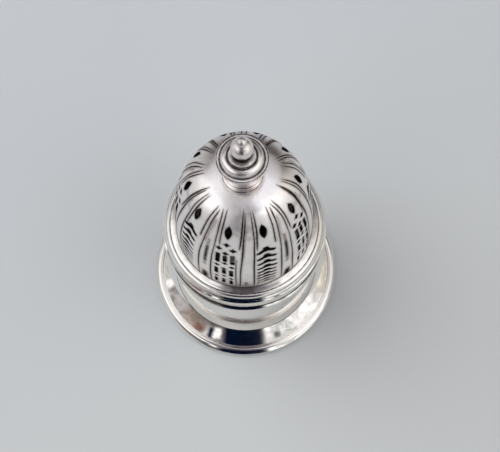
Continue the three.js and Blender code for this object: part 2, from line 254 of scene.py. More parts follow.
# Smears on a rib, the tongue's widest one a painted dark reflection: what lies there, its line of
# (share across, share up), half width in mm, strength
TONGUE_SMEARS_AND_REFLECTION = (
    ("tarnish_and_shade", ((-0.06, 0.87), (-0.1, 0.78), (-0.125, 0.7)), 0.55, 1.0),
    ("tarnish_and_shade", ((0, 0.78), (-0.07, 0.66), (-0.1, 0.52)), 0.5, 1.0),
    ("tarnish_and_shade", ((0.26, 0.28), (0.235, 0.1), (0.21, 0)), 0.5, 0.9),
    # A painted dark reflection, brown, across each tongue at the ovals' height
    ("tarnish_and_shade", ((-0.36, 0.75), (-0.12, 0.73), (0.1, 0.71)), 1.1, 0.6),
    ("oxide_and_shade", ((-0.045, 0.1), (-0.045, 0.05)), 0.6, 1.0),
)
LEAF_SMEARS = (
    ("tarnish_and_shade", ((0.03, 0.8), (-0.06, 0.7), (-0.1, 0.6)), 0.9, 0.8),
    ("tarnish_and_shade", ((0.02, 0.62), (0.0, 0.5), (-0.02, 0.38), (-0.03, 0.27)), 0.7, 1.2),
    ("oxide_and_shade", ((0.01, 0.54), (-0.02, 0.34)), 0.5, 1.7),
    ("tarnish_and_shade", ((-0.02, 0.12), (-0.05, 0)), 1.2, 1.2),
    ("oxide_and_shade", ((-0.03, 0.08), (-0.05, 0)), 1.1, 1.5),
)
RIB_SMEARS_AND_REFLECTION = (LEAF_SMEARS, TONGUE_SMEARS_AND_REFLECTION)
SMEAR_STRENGTHS = (0.6, 1)
# Tarnish and oxide round every cut, partly painted shade of the cuts' edges, as its strength and
# its reach in mm
CUT_DIRT_AND_SHADE = {"tarnish_and_shade": (0.4, 0.4), "oxide_and_shade": (0.3, 0.22)}
# Painted shade along the dome's foot where it meets the rim, laid in the tarnish colour: its
# strength, its height in mm and the power by which it fades
FOOT_PAINTED_SHADE_STRENGTH = 0.8
FOOT_PAINTED_SHADE_HEIGHT = 2.5
FOOT_PAINTED_SHADE_FADE = 1.5

# Each silver: its colour, its tarnish film's strength and patches to the metre, and its finish:
# wave height in metres, waves to the metre, and roughness where it is smooth and where rubbed
SILVERS = {
    "body_silver": ("silver", (0.1, 40), (0.00011, 60, 0.035, 0.11)),
    "drum_silver": ("silver", (0.1, 40), (0.0002, 60, 0.075, 0.14)),
    "rim_silver": ("silver", (0.2, 40), (0.00005, 60, 0.035, 0.11)),
    "pierced_silver": ("dome_silver", (0.06, 150), (0.00005, 120, 0.42, 0.6)),
    "collar_silver": ("worn_silver", (0.7, 120), (0.00004, 130, 0.2, 0.34)),
    "finial_silver": ("worn_silver", (0.55, 120), (0.00003, 150, 0.26, 0.38)),
    "inside_silver": ("inside_silver", (0.6, 60), (0.00003, 60, 0.38, 0.55)),
    "dome_inside_silver": ("dome_inside_tarnish_and_shade", (0.6, 60), (0.00003, 60, 0.5, 0.65)),
    "oxidised_silver": ("oxide_and_shade", (0.35, 400), (0.000004, 900, 0.5, 0.7)),
    "engraved_silver": ("engraved", (0.5, 500), (0.000004, 900, 0.45, 0.65)),
}
# Oxide and painted shade along the corners of the turned pieces, as (radius, level, reach,
# strength), in millimetres
DRUM_CORNER = (BODY_RADIUS, FOOT_TOP, 0.3, 1)
FOOT_GROOVE_RADIUS = FOOT_RADIUS - FOOT_MOULDING_WIDTH - FOOT_GROOVE / 2
OXIDE_AND_SHADE_RINGS = {
    # Darker in the foot's groove and where the drum stands on the foot
    "body_silver": (
        (FOOT_GROOVE_RADIUS, MOULDING_TOP - FOOT_RIM_STEP, 0.2, 0.25),
        DRUM_CORNER,
    ),
    "drum_silver": (DRUM_CORNER,),
    # Painted shade at the dome's foot and in the shoulder's grooves, and darker in the corner over
    # the edge wire
    "rim_silver": (
        (BAND_RADIUS, BAND_BASE, 0.7, 1),
        (DOME_RADIUS, DOME_BASE, 0.35, 1),
        (DOME_RADIUS, DOME_BASE, 2.4, 0.45),
        (DOME_RADIUS + 2.28, DOME_BASE - 1.0, 0.32, 0.6),
        (DOME_RADIUS + 3.82, DOME_BASE - 1.72, 0.3, 0.6),
    ),
    # Painted shade at the collar's foot, where it meets its ring and the dome, and a dark ring in
    # its groove
    "collar_silver": (
        (COLLAR_RING_RADIUS, CROWN, 0.45, 1),
        (COLLAR_RADIUS - COLLAR_WAIST, COLLAR_BASE + COLLAR_GROOVE_LEVEL, 0.55, 1),
        (COLLAR_RADIUS, COLLAR_BASE, 0.4, 1),
    ),
    # Mostly painted shadow: round the flange, the neck and the boss, and under the knop and the
    # ball; dirt in the disc's incised ring
    "finial_silver": (
        (DISC_RING_RADIUS, DISC_BASE + DISC_EDGE, 0.34, 1),
        (DISC_BOSS_RADIUS + 0.2, DISC_BASE + DISC_EDGE, 0.6, 1),
        (DISC_SEAT_RADIUS - 0.35, FINIAL_BASE, 0.95, 1),
        (FLANGE_SEAT_RADIUS, FINIAL_BASE, 0.6, 1),
        (NECK_RADIUS + 0.5, FINIAL_BASE + FLANGE_LIFT + 0.8, 2.3, 1),
        (BALL_NECK_RADIUS, FINIAL_TOP - 1.75 * BALL_RADIUS, 0.5, 1),
    ),
}
# How fully the dome's painted tarnish, oxide and shade cover the silver
PAINT_COVERS = (("tarnish_and_shade", 0.75), ("oxide_and_shade", 1.0))
# The dome is rubbed smoother towards its crown: from and to in mm, and by how much in roughness
CROWN_BURNISH = (CROWN - 3.2, CROWN - 0.9, 0.21)

# The camera, fitted to the photograph: its lens in mm, shift in frame widths and place in metres
CAMERA_LENS = 72
CAMERA_SENSOR = 36
CAMERA_SHIFT = (-0.0013, 0.0014)
CAMERA_PITCH = math.radians(70.72)
CAMERA_ROLL = math.radians(-0.87)
CAMERA_PLACE = (0.002232, -0.117792, 0.387216)

# The floor, in metres. Its colour is painted light: brighter near the caster, a painted pool of
# light, and turning to the far colour towards the window over a skewed strip behind the caster
FLOOR_SIZE = 6
FLOOR_LEVEL = -0.05 * MM
FLOOR_LIGHT_SKEW = 0.5
FLOOR_LIGHT_STRIP = (-0.12, 0.2)

# The lamp: its width and place in metres, and its power in watts
LAMP_WIDTH = 1.3
LAMP_PLACE = (-0.75, 0.35, 1.1)
LAMP_POWER = 7.2

# The studio's sky climbs from one colour at the horizon to another, reached at this height
HORIZON = (0.21, 0.195, 0.185)
CEILING = (0.98, 0.98, 1.04)
CEILING_HEIGHT = math.radians(80)
# Soft-edged parts of that sky, each over the ones before it, as the bearing from +X, half width,
# low edge, high edge and softness in degrees, and the colour
SKY_PATCHES = (
    # The dim far side
    (85, 70, -90, 45, 15, (0.09, 0.078, 0.07)),
    (84, 16, 50, 71, 6, (0.3, 0.27, 0.265)),
    # Windows and walls on the left
    (150, 30, -10, 34, 12, (0.4, 0.38, 0.37)),
    (191, 42, 14, 68, 11, (1.24, 1.25, 1.26)),
    (165, 14, -10, 30, 6, (0.85, 0.84, 0.81)),
    (177, 3, -6, 8, 2, (1.4, 1.4, 1.4)),
    # Windows and walls on the right
    (338, 34, -8, 70, 10, (1.25, 1.25, 1.26)),
    (10, 16, -8, 44, 8, (0.95, 0.91, 0.78)),
    (303, 16, -10, 42, 5, (1.0, 1.01, 1.02)),
    (303, 14, 20, 46, 5, (0.62, 0.61, 0.59)),
    (330, 19, 42, 60, 5, (1.6, 1.6, 1.6)),
    (305, 15, 62, 75, 4, (0.42, 0.43, 0.44)),
    # Low walls in front, with narrow lights on them
    (195, 14, -10, 20, 4, (0.5, 0.48, 0.48)),
    (214, 9, -10, 20, 4, (0.42, 0.35, 0.31)),
    (223, 6, 10, 20, 3.5, (0.27, 0.15, 0.13)),
    (235.5, 2.5, 10, 21, 1.5, (0.01, 0.015, 0.05)),
    (241, 3.5, 8, 19, 2, (1.5, 1.5, 1.5)),
    (291, 3.5, 6, 16, 2, (1.5, 1.5, 1.5)),
    (300, 3, 13, 19, 1.5, (0.25, 0.24, 0.23)),
    # Dark overhead, and on the side that the caster faces
    (235, 82, 75, 100, 4, (0.02, 0.02, 0.035)),
    (256, 46, 66, 80, 5, (0.08, 0.075, 0.11)),
    (266, 30, 36, 72, 7, (0.26, 0.24, 0.26)),
    (267, 18, 36, 80, 5, (0.1, 0.085, 0.1)),
    (266.5, 20, -10, 39, 4, (0.002, 0.006, 0.022)),
)
# Furniture along the walls breaks up what stands low: its darkest and brightest shade, and the
# heights between which it ends
CLUTTER_SHADES = (0.5, 1.15)
CLUTTER_TOP = (math.radians(32), math.radians(14))


def colour_property(name, description, default):
    """A colour that a user may change."""
    return bpy.props.FloatVectorProperty(
        name=name, description=description, subtype="COLOR", size=3, default=default
    )


class CasterSizes(bpy.types.PropertyGroup):
    """Sizes that the frame leaves open"""

    turn_steps: bpy.props.IntProperty(
        name="Turning steps", description="Faces round a foot, body or cover part",
        default=180, min=24, max=360,
    )
    finial_steps: bpy.props.IntProperty(
        name="Finial steps", description="Faces round a finial part", default=96, min=24, max=240
    )
    wall: bpy.props.FloatProperty(
        name="Wall", description="Thickness of the body's and the dome's sheet silver, in mm",
        default=0.8, min=0.4,
    )
    twist: bpy.props.FloatProperty(
        name="Pattern twist",
        description="How far the pattern leans round from its ovals to its foot",
        default=math.radians(-3), subtype="ANGLE", unit="ROTATION",
    )


class CasterColours(bpy.types.PropertyGroup):
    """Colours of the silver, its tarnish and painted shade, and the stage with its painted floor
    light
    """

    silver: colour_property("Silver", "Polished silver", (0.93, 0.905, 0.87))
    worn_silver: colour_property("Worn silver", "Softer silver of the finial", (0.93, 0.885, 0.86))
    dome_silver: colour_property("Dome silver", "Matt silver of the dome", (0.975, 0.943, 0.928))
    inside_silver: colour_property("Inside silver", "Dull silver inside", (0.24, 0.22, 0.205))
    # Tarnished silver inside the dome, painted darker as the shade inside the closed cover
    dome_inside_tarnish_and_shade: colour_property("Dome inside", "Dark silver inside the dome", (0.09, 0.08, 0.075))
    # The tarnish colour, also laid as painted shade along the dome's foot and at its cuts' edges,
    # and as a painted dark reflection on each tongue
    tarnish_and_shade: colour_property("Tarnish", "Brown tarnish round the engraving", (0.21, 0.115, 0.1))
    # The oxide colour, also laid as painted shade in the turned pieces' corners and at the edges of
    # the dome's cuts
    oxide_and_shade: colour_property("Oxide", "Black oxide in cuts and corners", (0.025, 0.02, 0.02))
    engraved: colour_property("Engraved lines", "Dirt in the engraved lines", (0.018, 0.007, 0.009))
    # Painted floor light: the near floor is brighter, a painted pool of light round the caster, and
    # the far floor duller and bluer
    floor: colour_property("Floor", "Plain pale floor", (0.6, 0.62, 0.622))
    far_floor_painted_light: colour_property("Far floor", "The floor towards the window", (0.575, 0.605, 0.635))
    backdrop: colour_property("Backdrop", "Plain backdrop beyond the floor", (0.5, 0.52, 0.53))


def sizes():
    return bpy.context.scene.caster_sizes


def colours():
    return bpy.context.scene.caster_colours


# Outlines, as [radius, height] points in millimetres


def worn_edge():
    """The fillet of an edge of sheet silver."""
    return sizes().wall * WORN_EDGE_SHARE


def placed(shares, start, size):
    """Corners of [radius, height, fillet] from rows of (share outwards, share upwards, fillet)."""
    return [[start[0] + out * size[0], start[1] + up * size[1], ease] for out, up, ease in shares]


def rounded(corners, steps=4):
    """A polyline through corners of [radius, height, fillet], with an even curve at each fillet."""
    points = []
    for i, corner in enumerate(corners):
        here = Vector(corner[:2])
        fillet = corner[2] if len(corner) > 2 else 0
        if not fillet or i in (0, len(corners) - 1):
            points.append(here)
            continue
        before = here + (Vector(corners[i - 1][:2]) - here).normalized() * fillet
        after = here + (Vector(corners[i + 1][:2]) - here).normalized() * fillet
        for k in range(steps + 1):
            t = k / steps
            points.append(before.lerp(here, t).lerp(here.lerp(after, t), t))
    return points


def bezier(start, pull_start, pull_end, end, steps):
    """Points of a cubic curve between vectors or arrays of any size, its start left out."""
    points = []
    for k in range(1, steps + 1):
        t = k / steps
        u = 1 - t
        points.append(
            u * u * u * start + 3 * u * u * t * pull_start
            + 3 * u * t * t * pull_end + t * t * t * end
        )
    return points


def flowing(points, steps=5):
    """A smooth curve through every point, as arrays."""
    rows = [np.array(point, float) for point in points]
    last = len(rows) - 1
    curve = [rows[0]]
    for i in range(last):
        before, here, there, after = (rows[min(max(k, 0), last)] for k in range(i - 1, i + 3))
        curve += bezier(here, here + (there - before) / 6, there - (after - here) / 6, there, steps)
    return curve


def dished(start, end, steps=24):
    """The foot's hollow curve from start to end."""
    # Shares of the way out and down at which the curve's pull stands
    pull_shares = (0.47, 0.55)
    pull = Vector([a + (b - a) * share for a, b, share in zip(start, end, pull_shares)])
    start, end = Vector(start), Vector(end)
    return [start, *bezier(start, start.lerp(pull, 2 / 3), end.lerp(pull, 2 / 3), end, steps)]


def arc(centre, radius, start, end, steps):
    """Points of an arc, its angles in degrees from the outward direction upwards."""
    points = []
    for k in range(steps + 1):
        angle = math.radians(start + (end - start) * k / steps)
        points.append(
            Vector((centre[0] + radius * math.cos(angle), centre[1] + radius * math.sin(angle)))
        )
    return points


# Bench work


def only(obj):
    """Makes obj the one selected and active object."""
    bpy.ops.object.select_all(action="DESELECT")
    obj.select_set(True)
    bpy.context.view_layer.objects.active = obj


def close_mesh():
    """Merges the doubles of the mesh in edit mode, turns its faces outwards and leaves it."""
    bpy.ops.mesh.select_all(action="SELECT")
    bpy.ops.mesh.remove_doubles(threshold=MERGE_DISTANCE)
    bpy.ops.mesh.normals_make_consistent(inside=False)
    bpy.ops.object.mode_set(mode="OBJECT")


def trace(name, points):
    """A chain of edges through points in space, extruded from one vertex, left in edit mode."""
    bpy.ops.object.select_all(action="DESELECT")
    bpy.ops.mesh.primitive_plane_add(size=MM)
    obj = bpy.context.object
    obj.name = name
    obj.data.name = name
    bpy.ops.object.mode_set(mode="EDIT")
    bpy.ops.mesh.select_all(action="SELECT")
    bpy.ops.mesh.merge(type="CENTER")
    bpy.ops.transform.translate(value=points[0])
    for here, there in zip(points, points[1:]):
        bpy.ops.mesh.extrude_vertices_move(TRANSFORM_OT_translate={"value": there - here})
    return obj


def turn(name, outline, steps, smooth=30):
    """A solid of revolution from a half outline that ends on the axis, or else is closed here.
    Edges flatter than smooth, in degrees, are shaded smooth."""
    points = [Vector((point[0] * MM, 0, point[1] * MM)) for point in outline]
    on_axis = abs(points[0].x) < NOTHING and abs(points[-1].x) < NOTHING
    if not on_axis:
        points.append(points[0].copy())
    obj = trace(name, points)
    bpy.ops.mesh.select_all(action="SELECT")
    bpy.ops.mesh.spin(steps=steps, angle=math.tau, center=(0, 0, 0), axis=(0, 0, 1))
    close_mesh()
    bpy.ops.object.shade_smooth_by_angle(angle=math.radians(smooth))
    return obj


def dress(obj, body, slot, material, *nodes):
    """Finishes a piece: its material, the body it rides on and the frame nodes it stands for."""
    obj.data.materials.append(material)
    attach(obj, body)
    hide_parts(*nodes)


# Materials


def add(tree, kind, settings=None, inputs=None):
    """A new node in a tree. Its inputs are plain values, or sockets that are linked to it."""
    node = tree.nodes.new(kind)
    for name, value in (settings or {}).items():
        setattr(node, name, value)
    for key, value in (inputs or {}).items():
        if isinstance(value, bpy.types.NodeSocket):
            tree.links.new(value, node.inputs[key])
        else:
            node.inputs[key].default_value = value
    return node


def place_on(tree):
    """The socket that gives a point's place on the object."""
    return add(tree, "ShaderNodeTexCoord").outputs["Object"]


def split(tree, vector):
    return add(tree, "ShaderNodeSeparateXYZ", inputs={"Vector": vector}).outputs


def combine(tree, x, y):
    return add(tree, "ShaderNodeCombineXYZ", inputs={"X": x, "Y": y}).outputs["Vector"]


def noise(tree, where, scale, detail=2.0, roughness=0.5, distortion=0.0):
    """Soft noise. Its scale is in waves to the metre."""
    inputs = {
        "Vector": where, "Scale": scale, "Detail": detail, "Roughness": roughness,
        "Distortion": distortion,
    }
    return add(tree, "ShaderNodeTexNoise", inputs=inputs).outputs["Fac"]


def math_node(tree, operation, *values, clamp=False):
    settings = {"operation": operation, "use_clamp": clamp}
    return add(tree, "ShaderNodeMath", settings, dict(enumerate(values))).outputs[0]


def times(tree, first, second, clamp=False):
    return math_node(tree, "MULTIPLY", first, second, clamp=clamp)


def ramp(tree, value, start, end, low_value=0.0, high_value=1.0):
    """A value eased from low_value at start to high_value at end."""
    inputs = {
        "Value": value, "From Min": start, "From Max": end, "To Min": low_value,
        "To Max": high_value,
    }
    settings = {"interpolation_type": "SMOOTHSTEP"}
    return add(tree, "ShaderNodeMapRange", settings, inputs).outputs["Result"]


def mix_colours(tree, factor, first, second):
    inputs = {0: factor, 6: first, 7: second}
    return add(tree, "ShaderNodeMix", {"data_type": "RGBA"}, inputs).outputs[2]


def rgba(colour):
    return (*colour, 1.0)


def new_group(name, inputs, outputs):
    """An empty node group with a number socket for each of its inputs and outputs."""
    group = bpy.data.node_groups.new(name, "ShaderNodeTree")
    for label in inputs:
        group.interface.new_socket(label, in_out="INPUT", socket_type="NodeSocketFloat")
    for label in outputs:
        group.interface.new_socket(label, in_out="OUTPUT", socket_type="NodeSocketFloat")
    start = group.nodes.new("NodeGroupInput")
    end = group.nodes.new("NodeGroupOutput")
    return group, start.outputs, end.inputs


def hand_finish(name):
    """Waves of hand raising, rubbing marks and scratches: a height in metres and a roughness."""
    inputs = ["Wave Height", "Waves To The Metre", "Smooth", "Rubbed"]
    # Waves to the metre along x, y and z, for scratches that run three ways
    scratch_scales = ((2600, 260, 500), (300, 2400, 420), (420, 380, 2600))
    scratch_height = 0.000001
    scratch_wear = 0.35
    group, given, out = new_group(name, inputs, ["Height", "Roughness"])
    where = place_on(group)
    raised = noise(group, where, given["Waves To The Metre"], detail=1.5)
    waves = times(group, raised, given["Wave Height"])
    scratches = 0.0
    for scales in scratch_scales:
        mapping = add(group, "ShaderNodeMapping", inputs={"Vector": where, "Scale": scales})
        hairs = noise(group, mapping.outputs["Vector"], 1.0, detail=1.0, distortion=0.6)
        scratches = math_node(group, "MAXIMUM", scratches, ramp(group, hairs, 0.6, 0.78))
    cuts = times(group, scratches, scratch_height)
    group.links.new(math_node(group, "SUBTRACT", waves, cuts), out["Height"])
    rubbing = ramp(group, noise(group, where, 110.0, detail=3.0, roughness=0.6), 0.38, 0.66)
    wear = math_node(group, "ADD", rubbing, times(group, scratches, scratch_wear), clamp=True)
    inputs = {"Value": wear, "To Min": given["Smooth"], "To Max": given["Rubbed"]}
    spread = add(group, "ShaderNodeMapRange", inputs=inputs)
    group.links.new(spread.outputs["Result"], out["Roughness"])
    return group


def tarnish_film(name):
    """Patches of thin tarnish, as a mask that is wide and soft with darker freckles in it."""
    freckle_strength = 0.6
    group, given, out = new_group(name, ["Amount", "Patches To The Metre"], ["Mask"])
    where = place_on(group)
    cloud = noise(
        group, where, given["Patches To The Metre"], detail=3.0, roughness=0.55, distortion=0.4
    )
    specks = noise(group, where, 900.0)
    patches = ramp(group, cloud, 0.42, 0.72)
    freckles = ramp(group, specks, 0.62, 0.76, 0.0, freckle_strength)
    both = math_node(group, "ADD", patches, freckles, clamp=True)
    group.links.new(times(group, both, given["Amount"]), out["Mask"])
    return group


def oxide_and_shade_ring(name):
    """Oxide and painted shade in a turned corner: a mask round the ring at a radius and level, in
    metres.
    """
    # The darkening's reach wanders between these shares of its own
    least_share, most_share = 0.55, 1.2
    group, given, out = new_group(name, ["Radius", "Level", "Reach"], ["Mask"])
    where = place_on(group)
    parts = split(group, where)
    flat = combine(group, parts["X"], parts["Y"])
    radius = add(group, "ShaderNodeVectorMath", {"operation": "LENGTH"}, {0: flat})
    here = combine(group, radius.outputs["Value"], parts["Z"])
    ring = combine(group, given["Radius"], given["Level"])
    away = add(group, "ShaderNodeVectorMath", {"operation": "DISTANCE"}, {0: here, 1: ring})
    uneven = noise(group, where, 350.0, detail=3.0, roughness=0.6)
    wandering = times(group, given["Reach"], ramp(group, uneven, 0.25, 0.7, least_share, most_share))
    group.links.new(ramp(group, away.outputs["Value"], wandering, 0.0), out["Mask"])
    return group


GROUPS = {"Hand finish": hand_finish, "Tarnish film": tarnish_film, "Oxide and shade ring": oxide_and_shade_ring}


def use_group(tree, name, *values):
    """A node that holds one of the groups, built the first time, with its inputs' values."""
    node = tree.nodes.new("ShaderNodeGroup")
    node.node_tree = bpy.data.node_groups.get(name) or GROUPS[name](name)
    for socket, value in zip(node.inputs, values):
        socket.default_value = value
    return node.outputs


def burnish(tree, roughness):
    """Takes some roughness off towards the dome's crown."""
    start, end, gain = CROWN_BURNISH
    level = split(tree, place_on(tree))["Z"]
    rubbed = ramp(tree, level, start * MM, end * MM, 0.0, gain)
    return math_node(tree, "SUBTRACT", roughness, rubbed)


def paint_over(tree, colour, roughness):
    """Lays the painted tarnish, oxide and painted shade over a colour."""
    paint_roughness = 0.25
    grains = noise(tree, place_on(tree), 1300.0, roughness=0.6)
    ragged = ramp(tree, grains, 0.2, 0.75, 0.65, 1.25)
    for name, cover in PAINT_COVERS:
        strength = add(tree, "ShaderNodeAttribute", {"attribute_name": name}).outputs["Fac"]
        mask = times(tree, times(tree, strength, ragged), cover, clamp=True)
        colour = mix_colours(tree, mask, colour, rgba(getattr(colours(), name)))
        rough = times(tree, mask, paint_roughness)
        roughness = math_node(tree, "ADD", roughness, rough, clamp=True)
    return colour, roughness


def lay_oxide_and_shade(tree, colour, rings):
    """Lays the oxide colour over a colour along rings of (radius, level, reach, strength), in
    millimetres: oxide and painted shade in corners.
    """
    for *ring, strength in rings:
        darkening = use_group(tree, "Oxide and shade ring", *(value * MM for value in ring))
        mask = times(tree, darkening["Mask"], strength)
        colour = mix_colours(tree, mask, colour, rgba(colours().oxide_and_shade))
    return colour


def silver(name):
    """One of the silvers, made the first time: a colour under a tarnish film, finished by hand."""
    if name in bpy.data.materials:
        return bpy.data.materials[name]
    base, film, finish = SILVERS[name]
    material = bpy.data.materials.new(name)
    material.use_nodes = True
    tree = material.node_tree
    shader = tree.nodes["Principled BSDF"]
    shader.inputs["Metallic"].default_value = 1.0
    hand = use_group(tree, "Hand finish", *finish)
    mask = use_group(tree, "Tarnish film", *film)["Mask"]
    colour = mix_colours(tree, mask, rgba(getattr(colours(), base)), rgba(colours().tarnish_and_shade))
    roughness = hand["Roughness"]
    if name == "pierced_silver":
        roughness = burnish(tree, roughness)
        colour, roughness = paint_over(tree, colour, roughness)
    # Oxide and painted shade along the piece's corners
    colour = lay_oxide_and_shade(tree, colour, OXIDE_AND_SHADE_RINGS.get(name, ()))
    tree.links.new(colour, shader.inputs["Base Color"])
    tree.links.new(roughness, shader.inputs["Roughness"])
    bump = add(tree, "ShaderNodeBump", inputs={"Height": hand["Height"], "Distance": 1.0})
    tree.links.new(bump.outputs["Normal"], shader.inputs["Normal"])
    return material


# Foot


def make_foot_wire():
    inner = FOOT_WIRE_RADIUS - FOOT_WIRE_WIDTH
    ease = worn_edge()
    outline = rounded([
        [inner, 0], [FOOT_WIRE_RADIUS, 0, ease], [FOOT_WIRE_RADIUS, LIP_BASE, ease / 3],
        [inner, LIP_BASE],
    ])
    wire = turn("foot_wire", outline, sizes().turn_steps)
    dress(wire, "body", "polished_silver", silver("body_silver"), "foot_base_wire")


def make_foot_flange():
    sheet = sizes().wall
    edge = FOOT_RADIUS - FOOT_MOULDING_WIDTH - FOOT_GROOVE
    edge_height = MOULDING_TOP - FOOT_RIM_STEP
    ledge = BODY_RADIUS - FOOT_TOP_LEDGE
    outside = dished([BODY_RADIUS, FOOT_TOP], [edge, edge_height])
    inside = dished([ledge, FOOT_TOP - sheet], [edge - sheet, edge_height - sheet])
    outline = [
        *inside, [edge - sheet, LIP_BASE], [LIP_RADIUS, LIP_BASE], [LIP_RADIUS, LIP_TOP],
        [edge, LIP_TOP], *reversed(outside), [ledge, FOOT_TOP],
    ]
    flange = turn("foot_flange_spun", outline, sizes().turn_steps, smooth=40)
    dress(flange, "body", "polished_silver", silver("body_silver"), "foot_flange")


def make_foot_moulding():
    # Share of the moulding's width outwards and of its height upwards, and the fillet in mm
    shares = [
        (1, 0, 0), (1, 0.17, 0.12), (0.55, 0.93, 0.35), (0.25, 1, 0.3), (0.1, 0.94, 0.15),
        (0, 0.7, 0),
    ]
    inner = FOOT_RADIUS - FOOT_MOULDING_WIDTH
    size = (FOOT_MOULDING_WIDTH, MOULDING_TOP - LIP_TOP)
    outline = rounded([[inner, LIP_TOP], *placed(shares, (inner, LIP_TOP), size)])
    moulding = turn("foot_moulding", outline, sizes().turn_steps, smooth=50)
    dress(moulding, "body", "polished_silver", silver("body_silver"), "foot_edge_moulding")


# Body


def make_drum():
    inner = BODY_RADIUS - sizes().wall
    ease = worn_edge()
    outline = rounded([
        [inner, FOOT_TOP], [BODY_RADIUS, FOOT_TOP], [BODY_RADIUS, BODY_LIP, ease],
        [inner, BODY_LIP, ease], [inner, FOOT_TOP],
    ])
    drum = turn("body_drum", outline[:-1], sizes().turn_steps)
    dress(drum, "body", "polished_silver", silver("drum_silver"), "body_shell")


def make_body_floor():
    outline = rounded([
        [0, FOOT_TOP], [BASE_PLATE_RADIUS, FOOT_TOP],
        [BASE_PLATE_RADIUS, BASE_PLATE_TOP, worn_edge()], [0, BASE_PLATE_TOP],
    ])
    plate = turn("body_floor", outline, sizes().turn_steps)
    dress(plate, "body", "inside_silver", silver("inside_silver"), "body_base_plate")


def make_mouth_ring():
    inner = MOUTH_RING_RADIUS - MOUTH_RING_WALL
    outline = rounded([
        [inner, MOUTH_RING_BASE], [MOUTH_RING_RADIUS, MOUTH_RING_BASE],
        [MOUTH_RING_RADIUS, BODY_LIP], [inner, BODY_LIP, worn_edge() / 2],
        [inner, MOUTH_RING_BASE],
    ])
    ring = turn("mouth_ring", outline[:-1], sizes().turn_steps)
    dress(ring, "body", "inside_silver", silver("inside_silver"), "body_mouth_ring")


# Rim of the cover


def make_edge_wire():
    # Share of the wire's stand beyond the band and of its height upwards, and the fillet in mm
    shares = [(1, 0, 0.04), (1, 0.09, 0.08), (0.5, 0.56, 0.3), (0, 1, 0)]
    inner = BEZEL_RADIUS + SOLDER_FILM
    size = (EDGE_WIRE_RADIUS - BAND_RADIUS, BAND_BASE - COVER_SEAT)
    swell = placed(shares, (BAND_RADIUS, COVER_SEAT), size)
    outline = rounded([[inner, COVER_SEAT], *swell, [inner, BAND_BASE]])
    wire = turn("cover_rim_wire", outline, sizes().turn_steps, smooth=40)
    dress(wire, "cover", "polished_silver", silver("rim_silver"), "cover_edge_wire")


def make_sleeve():
    inner = BEZEL_RADIUS - BEZEL_WALL
    outline = rounded([
        [inner, BEZEL_BASE], [BEZEL_RADIUS, BEZEL_BASE, BEZEL_WALL / 3],
        [BEZEL_RADIUS, BAND_BASE], [inner, BAND_BASE],
    ])
    sleeve = turn("cover_sleeve", outline, sizes().turn_steps)
    dress(sleeve, "cover", "inside_silver", silver("inside_silver"), "cover_bezel")


def make_plain_band():
    inner = BAND_RADIUS - sizes().wall
    outline = [
        [inner, BAND_BASE], [BAND_RADIUS, BAND_BASE], [BAND_RADIUS, SHOULDER_BASE],
        [inner, SHOULDER_BASE],
    ]
    band = turn("cover_plain_band", outline, sizes().turn_steps)
    dress(band, "cover", "polished_silver", silver("rim_silver"), "cover_band")


def make_bead():
    # Share of the bead's stand outwards and of its height upwards, and the fillet in mm
    shares = [(0, 0, 0), (0.8, 0.1, 0.15), (1, 0.3, 0.1), (1, 0.5, 0.15), (0, 1, 0)]
    inner = BAND_RADIUS + SOLDER_FILM
    size = (BEAD_RADIUS - inner, SHOULDER_BASE - BEAD_BASE)
    outline = rounded(placed(shares, (inner, BEAD_BASE), size))
    bead = turn("cover_bead_wire", outline, sizes().turn_steps, smooth=50)
    dress(bead, "cover", "polished_silver", silver("rim_silver"), "cover_bead")


def make_shoulder():
    # Share of the shoulder's width outwards from the dome and of its height upwards from the
    # band, and the fillet in mm: a slope, a groove, a round bead, a groove and a rising flat
    shares = [
        (1, 0, 0), (0.88, 0.28, 0.1), (0.845, 0.29, 0.05), (0.81, 0.42, 0.08), (0.75, 0.6, 0.2),
        (0.66, 0.7, 0.25), (0.55, 0.7, 0.1), (0.5, 0.58, 0.05), (0.45, 0.72, 0.1),
        (0.2, 0.86, 0.4), (0, 1, 0),
    ]
    # The outside's points that the plain inside of the sheet follows, from the dome outwards
    backed_points = (-8, 25, 18)
    inner = DOME_RADIUS + SOLDER_FILM
    size = (BAND_RADIUS - inner, DOME_BASE - SHOULDER_BASE)
    outside = rounded(placed(shares, (inner, SHOULDER_BASE), size))
    inside = [
        [radius - SHOULDER_SHEET, height - SHOULDER_SHEET]
        for radius, height in (outside[k] for k in backed_points)
    ]
    outline = [
        *outside, [inner, DOME_BASE - SHOULDER_SHEET], *inside,
        [BAND_RADIUS - sizes().wall, SHOULDER_BASE],
    ]
    shoulder = turn("cover_moulded_shoulder", outline, sizes().turn_steps, smooth=40)
    dress(shoulder, "cover", "polished_silver", silver("rim_silver"), "cover_shoulder")


# Dome


